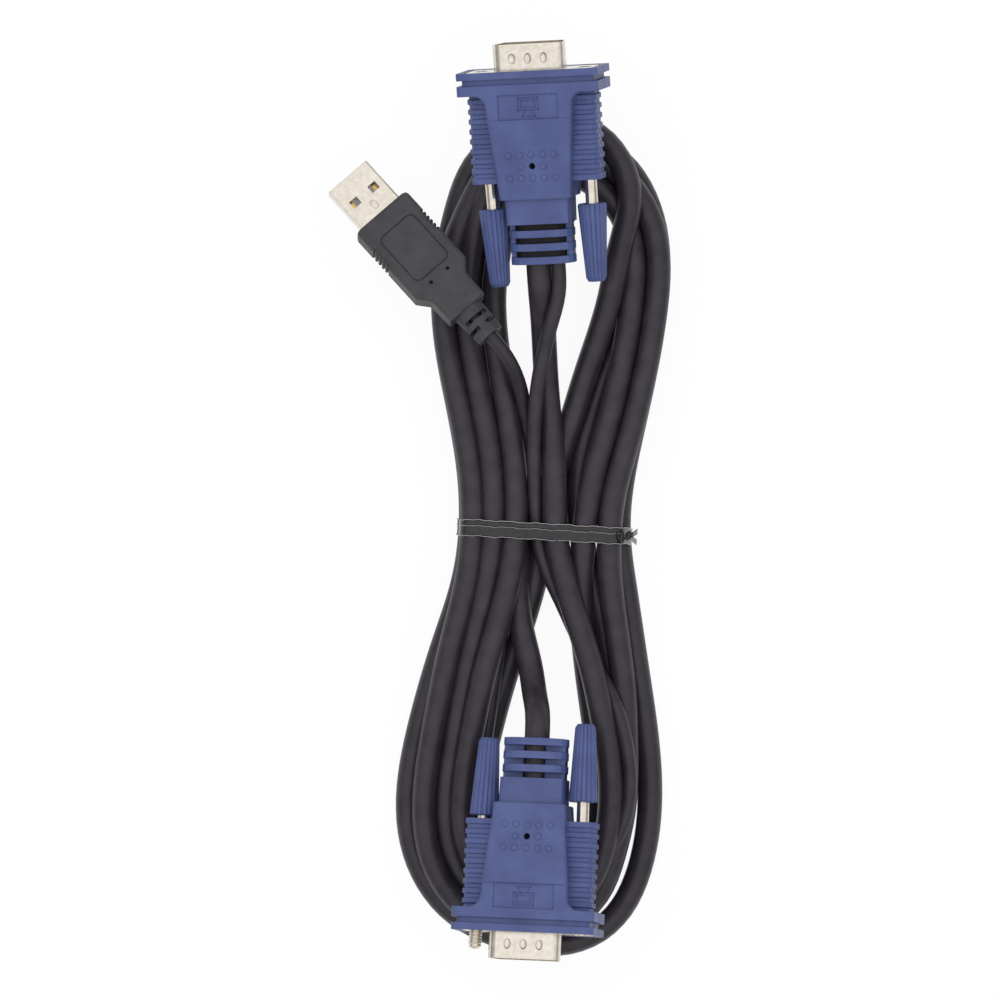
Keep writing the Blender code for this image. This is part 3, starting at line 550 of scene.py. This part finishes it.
def screw_thread(key, mat):
    """Helical ridge round the front of a thumbscrew's shaft, tapering out at both ends."""
    pitch, front, back = 0.635, 4.2, -3.3
    root, crest, sides = 1.36, 1.62, 20
    count = round((front - back) / pitch * sides)
    rings = []
    for k in range(count + 1):
        turn = 2 * math.pi * k / sides
        y = front - pitch * k / sides
        fade = min(1.0, k / sides, (count - k) / sides)
        tip = root + (crest - root) * fade
        out = Vector((math.cos(turn), 0.0, math.sin(turn)))
        half = Vector((0.0, pitch * 0.42, 0.0))
        centre = Vector((0.0, y, 0.0))
        rings.append([centre + out * root + half, centre + out * tip + half * 0.2,
                      centre + out * tip - half * 0.2, centre + out * root - half])
    end, side = key.split("_")
    obj = grid_mesh(f"{end}_thread_{side}", rings, mat)
    smooth(obj, 50)
    ride_in(obj, screw_frame(key), f"{end}_screw_{side}")


def tie_band(mat, painted_highlight):
    """The tie's flat loop round the bundle, a little creased, with a pale painted highlight on its ridged
    strips.
    """
    path = smooth_curve([(x, 0.0, z) for x, z in TIE_RING], 0.7, closed=True)
    rings = []
    for i, here in enumerate(path):
        along = (path[(i + 1) % len(path)] - path[i - 1]).normalized()
        out = Vector((-along.z, 0.0, along.x))
        crease = 0.1 * math.sin(0.9 * here.x) + 0.07 * math.sin(2.3 * here.x + 1.0)
        rings.append([here + out * rise + Vector((0.0, y + crease, 0.0)) for y, rise in TIE_SECTION])
    band = grid_mesh("tie_band", [*rings, rings[0]], mat, closed_ends=False)
    band.data.materials.append(painted_highlight)
    # Ridge strips take the second material, a pale painted highlight
    for face in band.data.polygons:
        face.material_index = 1 if face.index % len(TIE_SECTION) in TIE_RIDGES else 0
    return band


def tie_ends(mat, painted_highlight):
    """The two ends, splayed in a V and wholly in the pale painted highlight, and the stretch where they
    are twisted together.
    """
    start, half_w, half_t = Vector((27.6, 0.0, 12.1)), 1.5, 0.42
    twist = []
    for k in range(15):
        turn = Matrix.Rotation(math.radians(34 * k), 3, "X")
        w = half_w - 0.04 * k
        centre = start + Vector((0.3 * k, -0.4 * math.sin(k / 3), 0.0))
        corners = ((-w, -half_t), (w, -half_t), (w, half_t), (-w, half_t))
        twist.append([centre + turn @ Vector((0.0, y, z)) for y, z in corners])
    ends = []
    for name, side, lift in (("tie_end_up", 1, 0.5), ("tie_end_down", -1, -0.4)):
        tip = []
        for k in range(4):
            centre = Vector((31.4 + 0.5 * k, side * (0.3 + 0.34 * k), 12.0 + lift * k))
            corners = ((-0.7, -0.16), (0.7, 0.0), (0.7, 0.3), (-0.7, 0.14))
            tip.append([centre + Vector((0.0, y, z)) for y, z in corners])
        ends.append(grid_mesh(name, tip, painted_highlight))
    return [grid_mesh("tie_twist", twist, mat), *ends]


def twist_tie(mat, painted_highlight):
    """Flat tie drawn round the bundle at its waist, sloping a little as it crosses."""
    band = tie_band(mat, painted_highlight)
    place = Matrix.Translation((Vector((0.0, TIE_Y, 0.0)) + SHIFT) * MM)
    middle = Matrix.Translation(Vector(((WAIST_LEFT + WAIST_RIGHT) / 2, 0.0, 0.0)) * MM)
    slope = middle @ Matrix.Rotation(TIE_SLOPE, 4, "Z") @ middle.inverted()
    for obj in (band, *tie_ends(mat, painted_highlight)):
        smooth(obj, 40)
        ride_in(obj, place @ slope, "cable")
    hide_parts("twist_tie")


def bar(bm, start, end, width, low, high):
    """Straight raised line between two points of a plane, in millimetres."""
    a, b = Vector(start), Vector(end)
    along = (b - a).normalized()
    side = Vector((-along.y, along.x)) * width / 2
    outline = [a + side - along * width / 2, b + side + along * width / 2,
               b - side + along * width / 2, a - side - along * width / 2]
    rings = [[bm.verts.new((q.x * MM, q.y * MM, z * MM)) for q in outline] for z in (low, high)]
    for k in range(4):
        j = (k + 1) % 4
        bm.faces.new((rings[0][k], rings[0][j], rings[1][j], rings[1][k]))
    bm.faces.new(rings[0])
    bm.faces.new(rings[1])


def display_mark(end, spot, mat):
    """Plain drawing of a display, in raised lines on the floor of the label recess."""
    rim_and_screen = ((2.4, 1.45), (1.65, 0.8))
    lines = [[(w, h), (-w, h), (-w, -h), (w, -h), (w, h)] for w, h in rim_and_screen]
    lines.append([(-0.6, -1.45), (-1.6, -2.9), (1.6, -2.9), (0.6, -1.45)])
    bm = bmesh.new()
    for line in lines:
        for a, b in zip(line, line[1:]):
            bar(bm, a, b, MARK_LINE, RECESS_FLOOR - MARK_SINK, RECESS_FLOOR + MARK_RISE)
    bmesh.ops.translate(bm, verts=bm.verts, vec=Vector((0.0, MARK_CENTRE_Y, 0.0)) * MM)
    bmesh.ops.recalc_face_normals(bm, faces=bm.faces)
    obj = mesh_object(f"{end}_display_mark", bm, mat)
    ride_in(obj, placement(spot), "cable")


def dimple_cutter(spot, column, face_side):
    """Ellipsoid where one dimple is pressed in."""
    bm = bmesh.new()
    bmesh.ops.create_uvsphere(bm, u_segments=20, v_segments=12, radius=1.0)
    bmesh.ops.scale(bm, vec=DIMPLE_HALF_SIZE, verts=bm.verts)
    place = (column * DIMPLE_SPACING + DIMPLE_OFFSET, DIMPLE_Y, face_side * SHROUD_HALF_HEIGHT)
    bmesh.ops.translate(bm, verts=bm.verts, vec=place)
    bmesh.ops.scale(bm, vec=(MM, MM, MM), verts=bm.verts)
    tool = mesh_object("dimple", bm)
    tool.data.transform(placement(spot))
    return tool


def cut(target, tool):
    """Take the tool's shape out of the target's mesh, and remove the tool."""
    step = target.modifiers.new("cut", "BOOLEAN")
    step.object = tool
    step.operation = "DIFFERENCE"
    step.solver = "EXACT"
    graph = bpy.context.evaluated_depsgraph_get()
    done = bpy.data.meshes.new_from_object(target.evaluated_get(graph), depsgraph=graph)
    target.modifiers.clear()
    target.data = done
    bpy.data.objects.remove(tool)


def dimpled_shell(end, spot, mat):
    """The CAD shell with three pressed dimples in each wide side of the shroud."""
    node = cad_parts[f"{end}_front_shell"]
    mesh = node.data.copy()
    mesh.materials.clear()
    mesh.materials.append(mat)
    shell = bpy.data.objects.new(f"{end}_dimpled_shell", mesh)
    bpy.context.scene.collection.objects.link(shell)
    for face_side in (-1, 1):
        for column in (-1, 0, 1):
            cut(shell, dimple_cutter(spot, column, face_side))
    smooth(shell, 32)
    # Faces in the plane of a wide one are shaded flat, or its shading would run to the dimples
    wide_area = 4e-6
    flats = [face.normal.copy() for face in shell.data.polygons if face.area > wide_area]
    for face in shell.data.polygons:
        face.use_smooth = not any(face.normal.dot(normal) > 0.9999 for normal in flats)
    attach(shell, "cable")
    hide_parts(node.name)


def usb_contacts(mat):
    """Gold strips on the tongue's contacts, the two inner ones set back from its tip."""
    for k, x in enumerate(CONTACT_X):
        outer = k in (0, len(CONTACT_X) - 1)
        bm = bmesh.new()
        bar(bm, (x, OUTER_CONTACT_START if outer else INNER_CONTACT_START), (x, CONTACT_END),
            CONTACT_WIDTH, 0.1, 0.19)
        bmesh.ops.recalc_face_normals(bm, faces=bm.faces)
        obj = mesh_object(f"usb_contact_{k + 1}", bm, mat)
        ride_in(obj, placement(USB_PLUG), "cable")


def usb_ring(mat):
    """The oval ring pressed into the USB shell."""
    around, across = 24, 8
    rings = []
    for i in range(around + 1):
        turn = 2 * math.pi * i / around
        out = Vector((math.cos(turn), math.sin(turn), 0.0))
        centre = Vector(RING_CENTRE) + Vector((RING_HALF_SIZE[0] * out.x, RING_HALF_SIZE[1] * out.y, 0.0))
        rings.append([
            centre + out * RING_WIRE_R * math.cos(2 * math.pi * j / across)
            + Vector((0.0, 0.0, RING_WIRE_R * math.sin(2 * math.pi * j / across)))
            for j in range(across)
        ])
    ring = grid_mesh("usb_shell_ring", rings, mat, closed_ends=False)
    smooth(ring, 60)
    ride_in(ring, placement(USB_PLUG), "cable")


# Carried CAD pieces


def dress(looks):
    """Give each CAD node whose name holds one of these kinds the material of that kind."""
    kinds = {
        "hood": "blue", "knob": "blue", "shell": "nickel", "screw": "nickel",
        "insulator": "insulator", "pin": "gold", "overmould": "grip", "inner_mould": "inner",
        "tongue": "white", "tie": "tie",
    }
    for name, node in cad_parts.items():
        for kind, look in kinds.items():
            if kind in name:
                node.data.materials.clear()
                node.data.materials.append(looks[look])


# Stage


def floor_white():
    """Matt white floor that camera, glossy and transmitted rays see nearly without its shadow."""
    m = Nodes("floor_white", (0.93, 0.93, 0.93), 0.9)
    m.shader.inputs["Specular IOR Level"].default_value = 0.1
    light = m.tree.nodes.new("ShaderNodeLightPath")
    glow = m.tree.nodes.new("ShaderNodeEmission")
    seen = light.outputs["Is Camera Ray"]
    for ray in ("Is Glossy Ray", "Is Transmission Ray"):
        either = m.add("ShaderNodeMath", operation="MAXIMUM")
        m.link(seen, either.inputs[0])
        m.link(light.outputs[ray], either.inputs[1])
        seen = either.outputs[0]
    share = m.add("ShaderNodeMath", operation="MULTIPLY")
    share.inputs[1].default_value = FLOOR_GLOW
    m.link(seen, share.inputs[0])
    mix = m.tree.nodes.new("ShaderNodeMixShader")
    m.link(share.outputs[0], mix.inputs["Fac"])
    m.link(m.shader.outputs["BSDF"], mix.inputs[1])
    m.link(glow.outputs["Emission"], mix.inputs[2])
    m.link(mix.outputs["Shader"], m.tree.nodes["Material Output"].inputs["Surface"])
    return m.mat


def floor():
    """White floor just below the part."""
    bm = bmesh.new()
    bmesh.ops.create_grid(bm, x_segments=1, y_segments=1, size=FLOOR_HALF_SIZE)
    obj = mesh_object("floor", bm, floor_white())
    obj.location.z = -FLOOR_DROP


def sky():
    """White sky, dimmer towards the horizon, so that round cable darkens towards its edges."""
    world = bpy.data.worlds.new("studio")
    bpy.context.scene.world = world
    world.use_nodes = True
    tree = world.node_tree
    coords = tree.nodes.new("ShaderNodeTexCoord")
    split = tree.nodes.new("ShaderNodeSeparateXYZ")
    rise = tree.nodes.new("ShaderNodeMapRange")
    rise.inputs["From Min"].default_value = SKY_RISE_START
    rise.inputs["From Max"].default_value = SKY_RISE_END
    rise.inputs["To Min"].default_value = HORIZON_LIGHT
    rise.inputs["To Max"].default_value = ZENITH_LIGHT
    tree.links.new(coords.outputs["Generated"], split.inputs["Vector"])
    tree.links.new(split.outputs["Z"], rise.inputs["Value"])
    tree.links.new(rise.outputs["Result"], tree.nodes["Background"].inputs["Strength"])
    tree.nodes["Background"].inputs["Color"].default_value = (1.0, 1.0, 1.0, 1.0)


def lamps():
    """Two large soft lamps, which metal doesn't mirror, so that it shows only the even sky."""
    for name, place, side, power in LAMPS:
        lamp = bpy.data.lights.new(name, "AREA")
        lamp.size = side
        lamp.energy = power
        obj = bpy.data.objects.new(name, lamp)
        obj.location = place
        obj.visible_glossy = False
        obj.rotation_euler = (-Vector(place)).to_track_quat("-Z", "Y").to_euler()
        bpy.context.scene.collection.objects.link(obj)


def camera():
    """Camera straight above, looking down."""
    data = bpy.data.cameras.new("camera")
    data.lens = CAMERA_LENS
    data.sensor_width = 36.0
    data.clip_end = 20.0
    obj = bpy.data.objects.new("camera", data)
    obj.location = Vector((SHIFT.x, SHIFT.y, CAMERA_HEIGHT)) * MM
    bpy.context.scene.collection.objects.link(obj)
    bpy.context.scene.camera = obj
    bpy.context.scene.view_settings.view_transform = "Standard"


floor()
sky()
lamps()
camera()
vinyl = cable_vinyl()
looks = {
    "blue": blue_plastic(),
    "nickel": nickel(),
    "insulator": plain_plastic("insulator_plastic", "#4A5CA8", 0.4),
    "gold": gold(),
    # Inner mould: black plastic, deepened to near black as painted shade inside the comb's slots
    "inner": plain_plastic("inner_mould_black_and_shade", "#0C0A0C", 0.75),
    "white": plain_plastic("tongue_plastic", "#C9C9CC", 0.45),
    "grip": usb_black(),
    "tie": tie_plastic(),
}
dress(looks)
video_cable(vinyl)
usb_cable(vinyl)
# Pale grey on the tie's ridges and tips is painted highlight
twist_tie(looks["tie"], plain_plastic("tie_ridge_painted_highlight", "#8C8B89", 0.35))
for key in SCREWS:
    screw_thread(key, looks["nickel"])
for end, spot in (("pc", PC_PLUG), ("kvm", KVM_PLUG)):
    display_mark(end, spot, looks["blue"])
    dimpled_shell(end, spot, looks["nickel"])
usb_contacts(looks["gold"])
usb_ring(looks["nickel"])
